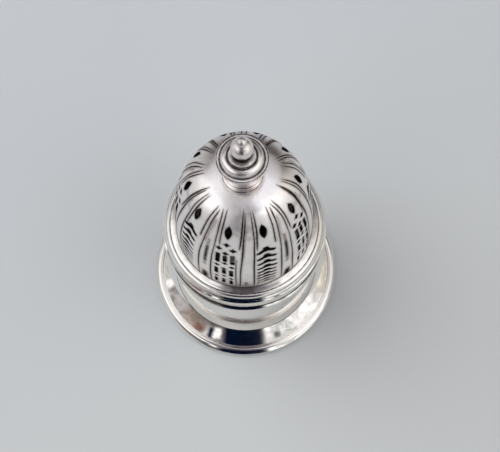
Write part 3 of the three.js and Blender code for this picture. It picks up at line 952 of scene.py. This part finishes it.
@cache
def dome_outline():
    """The dome's outside from its foot to its crown: points, and the length up to each."""
    # How far each end of a curve pulls it, as a share of the curve's height or width
    side_rise_share, side_ease_share = 0.54, 0.27
    shoulder_ease_share, crown_ease_share = 0.72, 0.46
    side_points, shoulder_points = 60, 24
    side_height = CROWN - DOME_BASE - DOME_SHOULDER_HEIGHT
    crown_width = DOME_SHOULDER_RADIUS - CROWN_RADIUS
    foot = Vector((DOME_RADIUS, DOME_BASE))
    side_top = Vector((DOME_SHOULDER_RADIUS, DOME_BASE + side_height))
    crown_end = Vector((CROWN_RADIUS, CROWN))
    lean = Vector((-math.sin(DOME_SHOULDER_LEAN), math.cos(DOME_SHOULDER_LEAN)))
    crown_run = Vector((math.cos(CROWN_SLOPE), -math.sin(CROWN_SLOPE)))
    side = bezier(
        foot, foot + Vector((0, side_rise_share * side_height)),
        side_top - lean * side_ease_share * side_height, side_top, side_points,
    )
    shoulder = bezier(
        side_top, side_top + lean * shoulder_ease_share * DOME_SHOULDER_HEIGHT,
        crown_end + crown_run * crown_ease_share * crown_width, crown_end, shoulder_points,
    )
    points = np.array([foot, *side, *shoulder])
    lengths = np.r_[0, np.cumsum(np.hypot(*np.diff(points, axis=0).T))]
    return points, lengths


def outline_place(share):
    """The radius and height of the dome's outside at a share of its outline from the foot up."""
    points, lengths = dome_outline()
    return [np.interp(share * lengths[-1], lengths, points[:, axis]) for axis in (0, 1)]


def dome_point(share, angle):
    """A point on the dome, at a share of its outline, with its across, upward and outward axes."""
    near = 0.004
    radius, height = outline_place(share)
    run = Vector(outline_place(share + near)) - Vector(outline_place(share - near))
    run.normalize()
    upward = Vector((math.cos(angle) * run.x, math.sin(angle) * run.x, run.y))
    outward = Vector((math.cos(angle) * run.y, math.sin(angle) * run.y, -run.x))
    across = upward.cross(outward)
    point = Vector((math.cos(angle) * radius, math.sin(angle) * radius, height)) * MM
    return point, across, upward, outward


def leaned(share):
    """The angle by which the pattern leans at a share of the outline, none at the ovals."""
    return sizes().twist * (OVAL_SHARE - share)


def spin_dome():
    """The dome before it is pierced, its outside and inside in their own material slots."""
    wall = sizes().wall
    stride = DOME_INSIDE_STRIDE
    outside = [Vector(outline_place(share)) for share in np.linspace(0, 1, DOME_ROWS)]
    crown = [Vector((r, CROWN)) for r in np.linspace(CROWN_RADIUS, 0, CROWN_RINGS + 1)[1:]]
    inside = []
    for k in range(0, DOME_ROWS - stride, stride):
        run = (outside[k + 1] - outside[max(k - 1, 0)]).normalized()
        inside.append(outside[k] - Vector((run.y, -run.x)) * wall)
    outline = [
        (0, CROWN - wall), (CROWN_RADIUS - wall, CROWN - wall), *reversed(inside),
        (DOME_RADIUS - wall, DOME_SKIRT), (DOME_RADIUS, DOME_SKIRT), *outside, *crown,
    ]
    dome = turn("pierced_dome", outline, DOME_COLUMNS)
    for name in ("pierced_silver", "dome_inside_silver", "oxidised_silver", "engraved_silver"):
        dome.data.materials.append(silver(name))
    for face in dome.data.polygons:
        middle = face.center / MM
        outward = Vector((middle.x, middle.y, 0)).dot(face.normal) > 0
        face.material_index = 0 if outward or middle.z > CROWN - wall / 2 else 1
    return dome


def draw_figure(name, outline):
    """A piercing tool: a figure of [across, up] points in mm, extruded through the wall."""
    tool = trace(name, [Vector((x * MM, y * MM, 0)) for x, y in outline])
    wall = sizes().wall
    bpy.ops.mesh.select_all(action="SELECT")
    bpy.ops.mesh.edge_face_add()
    bpy.ops.transform.translate(value=(0, 0, -(wall + CUT_OVERRUN) * MM))
    through = {"value": (0, 0, (wall + 2 * CUT_OVERRUN) * MM)}
    bpy.ops.mesh.extrude_region_move(TRANSFORM_OT_translate=through)
    bpy.ops.mesh.select_all(action="SELECT")
    bpy.ops.mesh.normals_make_consistent(inside=False)
    bpy.ops.object.mode_set(mode="OBJECT")
    return tool


def almond(width, height):
    """A pointed oval, widest a little above its middle."""
    belly, fullness, steps = 0.12, 0.85, 10
    right = []
    for k in range(steps + 1):
        up = -1 + 2 * k / steps
        from_belly = (up - belly) / (1 - belly if up > belly else 1 + belly)
        right.append((width / 2 * (1 - from_belly * from_belly) ** fullness, up * height / 2))
    return right + [(-x, y) for x, y in reversed(right[1:-1])]


def mirrored(shares, half_width, half_height):
    """A closed figure from shares of its half width and half height, for its right half from the
    top down."""
    right = [(x * half_width, y * half_height) for x, y in shares]
    return right + [(-x, y) for x, y in reversed(right) if x > NOTHING]


def draw_figures():
    """The saw-pierced figures, a tool for each."""
    diamond_shares = [(0, 1), (0.42, 0.46), (1, 0), (0.42, -0.46), (0, -1)]
    slot_shares = [(0.55, 1), (1, 0.9), (0.94, 0.2), (1, -0.88), (0.6, -1)]
    # The scale is a fleur with two wings, its height counted from the wings' lower tips
    scale_shares = [
        (0, 1), (0.17, 0.97), (0.3, 0.85), (0.36, 0.62), (0.65, 0.42), (1, 0.2), (1, -0.02),
        (0.86, -0.08), (0.6, 0.02), (0.33, 0.16), (0.18, 0.22), (0, 0.24),
    ]
    scale_middle_share = 0.62
    centred = [(x, y - scale_middle_share) for x, y in scale_shares]
    outlines = {
        "oval": almond(OVAL_WIDTH, OVAL_HEIGHT),
        "diamond": mirrored(diamond_shares, DIAMOND_WIDTH / 2, DIAMOND_HEIGHT / 2),
        "side_slot": mirrored(slot_shares, SLOT_WIDTH / 2, SIDE_SLOT_HEIGHT / 2),
        "middle_slot": mirrored(slot_shares, SLOT_WIDTH / 2, MIDDLE_SLOT_HEIGHT / 2),
        "scale": mirrored(centred, SCALE_HALF_WIDTH, SCALE_HEIGHT),
    }
    return {name: draw_figure(name + "_tool", outline) for name, outline in outlines.items()}


def punch(tool, share, angle, size, tall):
    """A copy of a piercing tool, with its own mesh, set square to the dome."""
    copy = tool.copy()
    copy.data = tool.data.copy()
    bpy.context.collection.objects.link(copy)
    point, across, upward, outward = dome_point(share, angle + leaned(share))
    turned = Matrix((across * size, upward * size * tall, outward)).transposed()
    copy.matrix_world = Matrix.Translation(point) @ turned.to_4x4()
    return copy


def trellis_places(up_slip):
    """The figures of a trellis panel, as (figure, share up, angle across, size, height)."""
    column = COLUMN_PITCH / DOME_RADIUS
    places = []
    for row in TRELLIS_SHARES:
        size = row["size"]
        places += [("diamond", row[key] + up_slip, 0, size, 1.0) for key in ("top", "bottom")]
        places.append(("middle_slot", row["middle_slot"] + up_slip, 0, size, 1.0))
        for side in (-column, column):
            places.append(("diamond", row["sides"] + up_slip, side, size, 1.0))
            places.append(("side_slot", row["side_slots"] + up_slip, side, size, 1.0))
    return places


def scale_places(up_slip, wider):
    """The figures of a scale panel, which stand closer and lower towards the dome's foot."""
    places = []
    for step in range(SCALE_COUNT):
        loss = step * (step - 1) * (SCALE_PITCH_LOSS_SHARE - wider) / 2
        share = SCALE_TOP_SHARE - (step * SCALE_PITCH_SHARE - loss) + up_slip
        places.append(("scale", share, 0, 1.0, 1 - step * SCALE_THINNING_SHARE))
    return places


def set_piercing_tools(panel, tools, hand):
    """The tools of one panel, set on the dome with the small slips of a saw guided by hand."""
    round_slip, up_slip, wider = PANEL_SLIPS.get(panel, (0, 0, 0))
    angle = FIRST_PANEL + panel * PANEL_PITCH + math.radians(round_slip)
    figures = trellis_places(up_slip) if panel % 2 else scale_places(up_slip, wider)
    slip = SAW_SLIP / DOME_RADIUS
    return [
        punch(
            tools[name], share + hand.gauss(0, SAW_SLIP_SHARE),
            angle + across + hand.gauss(0, slip), size * hand.uniform(*SAW_SIZES), tall,
        )
        for name, share, across, size, tall in [("oval", OVAL_SHARE, 0, 1.0, 1.0), *figures]
    ]


def join(pieces, name):
    """One mesh from several, with their places applied."""
    bpy.ops.object.select_all(action="DESELECT")
    for piece in pieces:
        piece.select_set(True)
    bpy.context.view_layer.objects.active = pieces[0]
    bpy.ops.object.join()
    bpy.ops.object.transform_apply(location=True, rotation=True, scale=True)
    joined = bpy.context.object
    joined.name = name
    return joined


def rib_angle(rib):
    return FIRST_PANEL + (rib + 0.5) * PANEL_PITCH


def engraved_line(shares, rib, hand):
    """A line of a rib as (point in space, weight), with a graver's small waver."""
    wander = hand.gauss(0, GRAVER_SLIP_SHARE)
    places = flowing([(across + wander, up, weight) for across, up, weight in shares])
    line = []
    for across, up, weight in places:
        point = dome_point(up, rib_angle(rib) + across * PANEL_PITCH)[0]
        line.append((point, weight * hand.uniform(*GRAVER_WEIGHTS)))
    return line


def graver(lines):
    """Round gravers run along lines: tubes half sunk in the dome, thin at their ends."""
    curve = bpy.data.curves.new("graver", "CURVE")
    curve.dimensions = "3D"
    curve.bevel_depth = ENGRAVED_WIDTH / 2 * MM
    curve.bevel_resolution = 1
    curve.use_fill_caps = True
    for line in lines:
        spline = curve.splines.new("POLY")
        spline.points.add(len(line) - 1)
        for k, (spot, (point, weight)) in enumerate(zip(spline.points, line)):
            from_end = min(k, len(line) - 1 - k)
            spot.co = (*point, 1)
            spot.radius = weight * min(1, ENGRAVED_END_SHARE + ENGRAVED_GAIN_SHARE * from_end)
    tool = bpy.data.objects.new("graver", curve)
    bpy.context.collection.objects.link(tool)
    only(tool)
    bpy.ops.object.convert(target="MESH")
    bpy.ops.object.mode_set(mode="EDIT")
    close_mesh()
    return bpy.context.object


def carve(piece, tool, slot):
    """Cuts a tool out of a piece. The new faces take a material slot of the piece."""
    tool.data.materials.clear()
    for material in piece.data.materials:
        tool.data.materials.append(material)
    tool.data.polygons.foreach_set("material_index", [slot] * len(tool.data.polygons))
    only(piece)
    cut = piece.modifiers.new("carve", "BOOLEAN")
    cut.operation = "DIFFERENCE"
    cut.solver = "MANIFOLD"
    cut.object = tool
    bpy.ops.object.modifier_apply(modifier=cut.name)
    bpy.data.objects.remove(tool)


def distances(spots, line):
    """How far each of many flat spots lies from a line of points."""
    best = np.full(len(spots), np.inf)
    for start, end in zip(np.array(line[:-1]), np.array(line[1:])):
        along = end - start
        t = np.clip(((spots - start) @ along) / (along @ along), 0, 1)
        best = np.minimum(best, np.hypot(*(spots - start - t[:, None] * along).T))
    return best


def distances_from_cuts(mesh, places):
    """How far each vertex lies from the nearest one of a cut face."""
    cut = set()
    for face in mesh.polygons:
        if face.material_index in (SAWN, ENGRAVED):
            cut.update(face.vertices)
    tree = KDTree(len(cut))
    for index in cut:
        tree.insert(places[index], index)
    tree.balance()
    return np.array([tree.find(place)[2] for place in places])


def paint_dome(dome, hand):
    """Tarnish and oxide round the cuts and in the ribs' smears, with painted shade along the dome's
    foot and at the cuts' edges and a painted dark reflection on each tongue, set as point
    attributes.
    """
    mesh = dome.data
    places = np.zeros(len(mesh.vertices) * 3)
    mesh.vertices.foreach_get("co", places)
    places = places.reshape(-1, 3) / MM
    points, lengths = dome_outline()
    up = np.interp(places[:, 2], points[:, 1], lengths)
    radius = np.hypot(places[:, 0], places[:, 1])
    angle = np.arctan2(places[:, 1], places[:, 0])

    away = distances_from_cuts(mesh, places)
    on_side = radius > CROWN_RADIUS
    # Tarnish and oxide round every cut, partly painted shade of the cuts' edges
    paint = {
        name: strength * np.exp(-((away / reach_) ** 2)) * on_side
        for name, (strength, reach_) in CUT_DIRT_AND_SHADE.items()
    }
    # Painted shade along the dome's foot, laid into the tarnish
    base = np.clip(1 - up / FOOT_PAINTED_SHADE_HEIGHT, 0, 1) ** FOOT_PAINTED_SHADE_FADE
    paint["tarnish_and_shade"] = np.maximum(paint["tarnish_and_shade"], FOOT_PAINTED_SHADE_STRENGTH * base)
    for rib in range(PANEL_COUNT):
        turned = (angle - rib_angle(rib) + math.pi) % math.tau - math.pi
        near = np.abs(turned) < PANEL_PITCH / 2
        spots = np.column_stack((turned[near] * radius[near], up[near]))
        for name, line, half_width, strength in RIB_SMEARS_AND_REFLECTION[rib % 2]:
            shown = strength * hand.uniform(*SMEAR_STRENGTHS)
            flat = [
                (across * PANEL_PITCH * outline_place(share)[0], share * lengths[-1])
                for across, share in line
            ]
            mark = shown * np.exp(-((distances(spots, flat) / half_width) ** 2))
            paint[name][near] = np.maximum(paint[name][near], mark)
    for name, values in paint.items():
        attribute = mesh.attributes.new(name, "FLOAT", "POINT")
        attribute.data.foreach_set("value", values.astype(np.float32))


def make_dome():
    hand = random.Random(7)
    dome = spin_dome()
    tools = draw_figures()
    punches = []
    for panel in range(PANEL_COUNT):
        punches += set_piercing_tools(panel, tools, hand)
    carve(dome, join(punches, "saw"), SAWN)
    for tool in tools.values():
        bpy.data.objects.remove(tool)
    # Lines of one rib may touch, so each cut takes only one from every rib
    for order in range(max(len(lines) for lines in RIB_LINE_SHARES)):
        lines = []
        for rib in range(PANEL_COUNT):
            shares = RIB_LINE_SHARES[rib % 2]
            if order < len(shares):
                lines.append(engraved_line(shares[order], rib, hand))
        carve(dome, graver(lines), ENGRAVED)
    paint_dome(dome, hand)
    only(dome)
    bpy.ops.object.shade_smooth_by_angle(angle=math.radians(35))
    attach(dome, "cover")
    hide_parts("cover_dome")


# Finial


def make_collar_ring():
    bore = COLLAR_RADIUS - COLLAR_WALL
    ease = (COLLAR_BASE - CROWN) * 0.4
    outline = rounded([
        [bore, CROWN], [COLLAR_RING_RADIUS, CROWN], [COLLAR_RING_RADIUS, COLLAR_BASE, ease],
        [bore, COLLAR_BASE],
    ])
    ring = turn("collar_foot_ring", outline, sizes().finial_steps)
    dress(ring, "cover", "satin_silver", silver("collar_silver"), "finial_collar_ring")


def make_collar():
    # Share of the collar's height, of its waist (inwards) and of its flare (outwards)
    collar_shares = [(0, 0, 0), (0.15, 0.8, 0), (0.45, 1, 0.1), (0.8, 0.4, 0.6), (1, 0, 1)]
    # Share of the groove's depth, and the height in mm from its middle
    groove_places = ((0, -0.25), (1, -0.08), (1, 0.08), (0, 0.25))
    groove_waist_share = 0.75
    bore = COLLAR_RADIUS - COLLAR_WALL
    height = DISC_BASE - COLLAR_BASE
    side = flowing([
        [COLLAR_RADIUS - waist * COLLAR_WAIST + flare * COLLAR_FLARE, COLLAR_BASE + up * height]
        for up, waist, flare in collar_shares
    ])
    groove_radius = COLLAR_RADIUS - COLLAR_WAIST * groove_waist_share
    groove_level = COLLAR_BASE + COLLAR_GROOVE_LEVEL
    groove = [
        [groove_radius - depth * COLLAR_GROOVE_DEPTH, groove_level + rise]
        for depth, rise in groove_places
    ]
    below = [point for point in side if point[1] < groove[0][1]]
    above = [point for point in side if point[1] > groove[-1][1]]
    outline = [[bore, COLLAR_BASE], *below, *groove, *above, [bore, DISC_BASE]]
    collar = turn("finial_collar_tube", outline, sizes().finial_steps, smooth=40)
    dress(collar, "cover", "satin_silver", silver("collar_silver"), "finial_collar")


def make_disc():
    # Share of the boss's width inwards from its foot, and of its rise
    boss_shares = [(0, 0), (0.12, 0.42), (0.4, 0.8), (0.75, 0.97), (1, 1)]
    # Share of the incised ring's width across, and of its depth
    incised_shares = ((0.5, 0), (0, 1), (-0.5, 0))
    ease = DISC_EDGE * 0.2
    edge_top = DISC_BASE + DISC_EDGE
    rise = FINIAL_BASE - edge_top
    boss_width = DISC_SEAT_RADIUS - DISC_BOSS_RADIUS
    boss = flowing([
        [DISC_BOSS_RADIUS + boss_width * inward, edge_top + up * rise] for inward, up in boss_shares
    ])
    incised = [
        [DISC_RING_RADIUS + across * DISC_RING_WIDTH, edge_top - down * DISC_RING_DEPTH]
        for across, down in incised_shares
    ]
    edge = rounded([
        [0, DISC_BASE], [DISC_RADIUS, DISC_BASE, ease], [DISC_RADIUS, edge_top, ease], incised[0],
    ])
    outline = [*edge[:-1], *incised, *boss, [0, FINIAL_BASE]]
    disc = turn("finial_turned_disc", outline, sizes().finial_steps, smooth=40)
    dress(disc, "cover", "polished_silver", silver("finial_silver"), "finial_disc")


def make_knop():
    flange_base = FINIAL_BASE + FLANGE_LIFT
    flange_top = flange_base + FLANGE_THICKNESS
    knop_middle = flange_top + NECK_HEIGHT - KNOP_RADIUS * math.sin(math.radians(KNOP_ARC[0]))
    knop = arc((0, knop_middle), KNOP_RADIUS, *KNOP_ARC, steps=24)
    ball = arc((0, FINIAL_TOP - BALL_RADIUS), BALL_RADIUS, *BALL_ARC, steps=18)
    neck = flowing([
        [FLANGE_RADIUS * 0.6, flange_top],
        [NECK_RADIUS * 1.15, flange_top + NECK_HEIGHT * 0.3],
        [NECK_RADIUS * 0.98, flange_top + NECK_HEIGHT * 0.75],
        knop[0],
    ])
    ball_neck = (BALL_NECK_RADIUS, (knop[-1][1] + ball[0][1]) / 2)
    ease = FLANGE_THICKNESS * 0.4
    flange = rounded([
        [0, FINIAL_BASE], [FLANGE_SEAT_RADIUS, FINIAL_BASE], [FLANGE_SEAT_RADIUS, flange_base],
        [FLANGE_RADIUS, flange_base, ease], [FLANGE_RADIUS, flange_top, ease], neck[0],
    ])
    outline = [*flange[:-1], *neck, *knop[1:], ball_neck, *ball[:-1], [0, FINIAL_TOP]]
    finial = turn("finial_knop", outline, sizes().finial_steps, smooth=35)
    dress(finial, "cover", "polished_silver", silver("finial_silver"), "finial")


# Stage


def set_camera():
    camera = bpy.data.objects.new("camera", bpy.data.cameras.new("camera"))
    bpy.context.collection.objects.link(camera)
    camera.data.sensor_width = CAMERA_SENSOR
    camera.data.lens = CAMERA_LENS
    camera.data.shift_x, camera.data.shift_y = CAMERA_SHIFT
    forward = Vector((0, math.cos(CAMERA_PITCH), -math.sin(CAMERA_PITCH)))
    level, upward = Vector((1, 0, 0)), Vector((0, math.sin(CAMERA_PITCH), math.cos(CAMERA_PITCH)))
    right = level * math.cos(CAMERA_ROLL) + upward * math.sin(CAMERA_ROLL)
    above = upward * math.cos(CAMERA_ROLL) - level * math.sin(CAMERA_ROLL)
    turned = Matrix((right, above, -forward)).transposed()
    camera.matrix_world = Matrix.Translation(CAMERA_PLACE) @ turned.to_4x4()
    bpy.context.scene.camera = camera


def floor_paper():
    material = bpy.data.materials.new("floor_paper")
    material.use_nodes = True
    tree = material.node_tree
    shader = tree.nodes["Principled BSDF"]
    parts = split(tree, place_on(tree))
    # Painted light on the floor: brighter near the caster, turning to the far colour behind it
    skewed = times(tree, parts["X"], FLOOR_LIGHT_SKEW)
    painted_falloff = ramp(tree, math_node(tree, "SUBTRACT", parts["Y"], skewed), *FLOOR_LIGHT_STRIP)
    colour = mix_colours(tree, painted_falloff, rgba(colours().floor), rgba(colours().far_floor_painted_light))
    tree.links.new(colour, shader.inputs["Base Color"])
    shader.inputs["Roughness"].default_value = 0.9
    shader.inputs["Specular IOR Level"].default_value = 0.1
    return material


def lay_floor():
    bpy.ops.object.select_all(action="DESELECT")
    bpy.ops.mesh.primitive_plane_add(size=FLOOR_SIZE, location=(0, 0, FLOOR_LEVEL))
    floor = bpy.context.object
    floor.name = "floor"
    bpy.ops.object.transform_apply(location=True, rotation=True, scale=True)
    floor.data.materials.append(floor_paper())


def patch(tree, bearing, height, place, half_width, low_edge, high_edge, soft):
    """A soft-edged part of the sky: its bearing and half width round, and its edges up, in
    radians."""
    turned = math_node(tree, "SUBTRACT", bearing, place)
    wrapped = math_node(tree, "WRAP", turned, -math.pi, math.pi)
    aside = math_node(tree, "ABSOLUTE", wrapped)
    across = ramp(tree, aside, half_width + soft, half_width - soft)
    over = ramp(tree, height, low_edge - soft, low_edge + soft)
    under = ramp(tree, height, high_edge + soft, high_edge - soft)
    return times(tree, times(tree, across, over), under)


def build_sky():
    """A plain studio round the caster: pale windows, a dark ceiling and the side that it faces."""
    world = bpy.data.worlds.new("studio")
    bpy.context.scene.world = world
    world.use_nodes = True
    tree = world.node_tree
    tree.nodes.clear()
    direction = add(tree, "ShaderNodeTexCoord").outputs["Generated"]
    parts = split(tree, direction)
    bearing = math_node(tree, "ARCTAN2", parts["Y"], parts["X"])
    height = math_node(tree, "ARCSINE", parts["Z"])
    climb = ramp(tree, height, 0.0, CEILING_HEIGHT)
    colour = mix_colours(tree, climb, rgba(HORIZON), rgba(CEILING))
    for *edges, shade in SKY_PATCHES:
        mask = patch(tree, bearing, height, *(math.radians(edge) for edge in edges))
        colour = mix_colours(tree, mask, colour, rgba(shade))
    lumps = noise(tree, direction, 5.5, detail=3.0, roughness=0.6, distortion=0.8)
    clutter = ramp(tree, lumps, 0.3, 0.7, *CLUTTER_SHADES)
    standing = ramp(tree, height, *CLUTTER_TOP)
    inputs = {0: standing, 2: 1.0, 3: clutter}
    broken = add(tree, "ShaderNodeMix", {"data_type": "FLOAT"}, inputs).outputs[0]
    inputs = {0: colour, "Scale": broken}
    shaded = add(tree, "ShaderNodeVectorMath", {"operation": "SCALE"}, inputs).outputs["Vector"]
    light = add(tree, "ShaderNodeBackground", inputs={"Color": shaded})
    plain = add(tree, "ShaderNodeBackground", inputs={"Color": rgba(colours().backdrop)})
    both = add(tree, "ShaderNodeMixShader", inputs={
        "Fac": add(tree, "ShaderNodeLightPath").outputs["Is Camera Ray"],
        1: light.outputs["Background"],
        2: plain.outputs["Background"],
    })
    end = tree.nodes.new("ShaderNodeOutputWorld")
    tree.links.new(both.outputs["Shader"], end.inputs["Surface"])


def hang_lamp():
    light = bpy.data.lights.new("window", "AREA")
    light.shape = "DISK"
    light.size = LAMP_WIDTH
    light.energy = LAMP_POWER
    lamp = bpy.data.objects.new("window", light)
    bpy.context.collection.objects.link(lamp)
    lamp.location = LAMP_PLACE
    lamp.rotation_euler = (-Vector(LAMP_PLACE)).to_track_quat("-Z", "Y").to_euler()
    lamp.visible_glossy = False


# Add-on


class CASTER_OT_stage(bpy.types.Operator):
    """Set up the camera, the floor and the studio"""

    bl_idname = "caster.stage"
    bl_label = "Stage"

    def execute(self, context):
        context.scene.view_settings.view_transform = "Standard"
        set_camera()
        lay_floor()
        build_sky()
        hang_lamp()
        return {"FINISHED"}


class CASTER_OT_foot(bpy.types.Operator):
    """Turn the foot's wire, flange and moulding"""

    bl_idname = "caster.foot"
    bl_label = "Foot"

    def execute(self, context):
        make_foot_wire()
        make_foot_flange()
        make_foot_moulding()
        return {"FINISHED"}


class CASTER_OT_body(bpy.types.Operator):
    """Turn the drum, its floor and its mouth ring"""

    bl_idname = "caster.body"
    bl_label = "Body"

    def execute(self, context):
        make_drum()
        make_body_floor()
        make_mouth_ring()
        return {"FINISHED"}


class CASTER_OT_rim(bpy.types.Operator):
    """Turn the cover's edge wire, sleeve, band, bead and shoulder"""

    bl_idname = "caster.rim"
    bl_label = "Cover rim"

    def execute(self, context):
        make_edge_wire()
        make_sleeve()
        make_plain_band()
        make_bead()
        make_shoulder()
        return {"FINISHED"}


class CASTER_OT_dome(bpy.types.Operator):
    """Spin, pierce, engrave and tarnish the dome, with painted shade and reflection"""

    bl_idname = "caster.dome"
    bl_label = "Dome"

    def execute(self, context):
        make_dome()
        return {"FINISHED"}


class CASTER_OT_finial(bpy.types.Operator):
    """Turn the collar and its ring, the disc and the finial"""

    bl_idname = "caster.finial"
    bl_label = "Finial"

    def execute(self, context):
        make_collar_ring()
        make_collar()
        make_disc()
        make_knop()
        return {"FINISHED"}


class CASTER_PT_panel(bpy.types.Panel):
    """Lists the caster's sizes, colours and steps"""

    bl_idname = "CASTER_PT_panel"
    bl_label = "Sugar caster"
    bl_space_type = "VIEW_3D"
    bl_region_type = "UI"
    bl_category = "Caster"

    def draw(self, context):
        for group in (context.scene.caster_sizes, context.scene.caster_colours):
            for name in group.__annotations__:
                self.layout.prop(group, name)
        for step in STEPS:
            self.layout.operator(step.bl_idname)


STEPS = (
    CASTER_OT_stage, CASTER_OT_foot, CASTER_OT_body, CASTER_OT_rim, CASTER_OT_dome,
    CASTER_OT_finial,
)
CLASSES = (CasterSizes, CasterColours, *STEPS, CASTER_PT_panel)


def register():
    for cls in CLASSES:
        bpy.utils.register_class(cls)
    bpy.types.Scene.caster_sizes = bpy.props.PointerProperty(type=CasterSizes)
    bpy.types.Scene.caster_colours = bpy.props.PointerProperty(type=CasterColours)


def unregister():
    del bpy.types.Scene.caster_sizes
    del bpy.types.Scene.caster_colours
    for cls in reversed(CLASSES):
        bpy.utils.unregister_class(cls)


def corners(box):
    return [list(corner) for corner in box]


def main():
    register()
    bpy.ops.caster.stage()
    bpy.ops.caster.foot()
    bpy.ops.caster.body()
    bpy.ops.caster.rim()
    bpy.ops.caster.dome()
    bpy.ops.caster.finial()


if __name__ == "__main__":
    main()
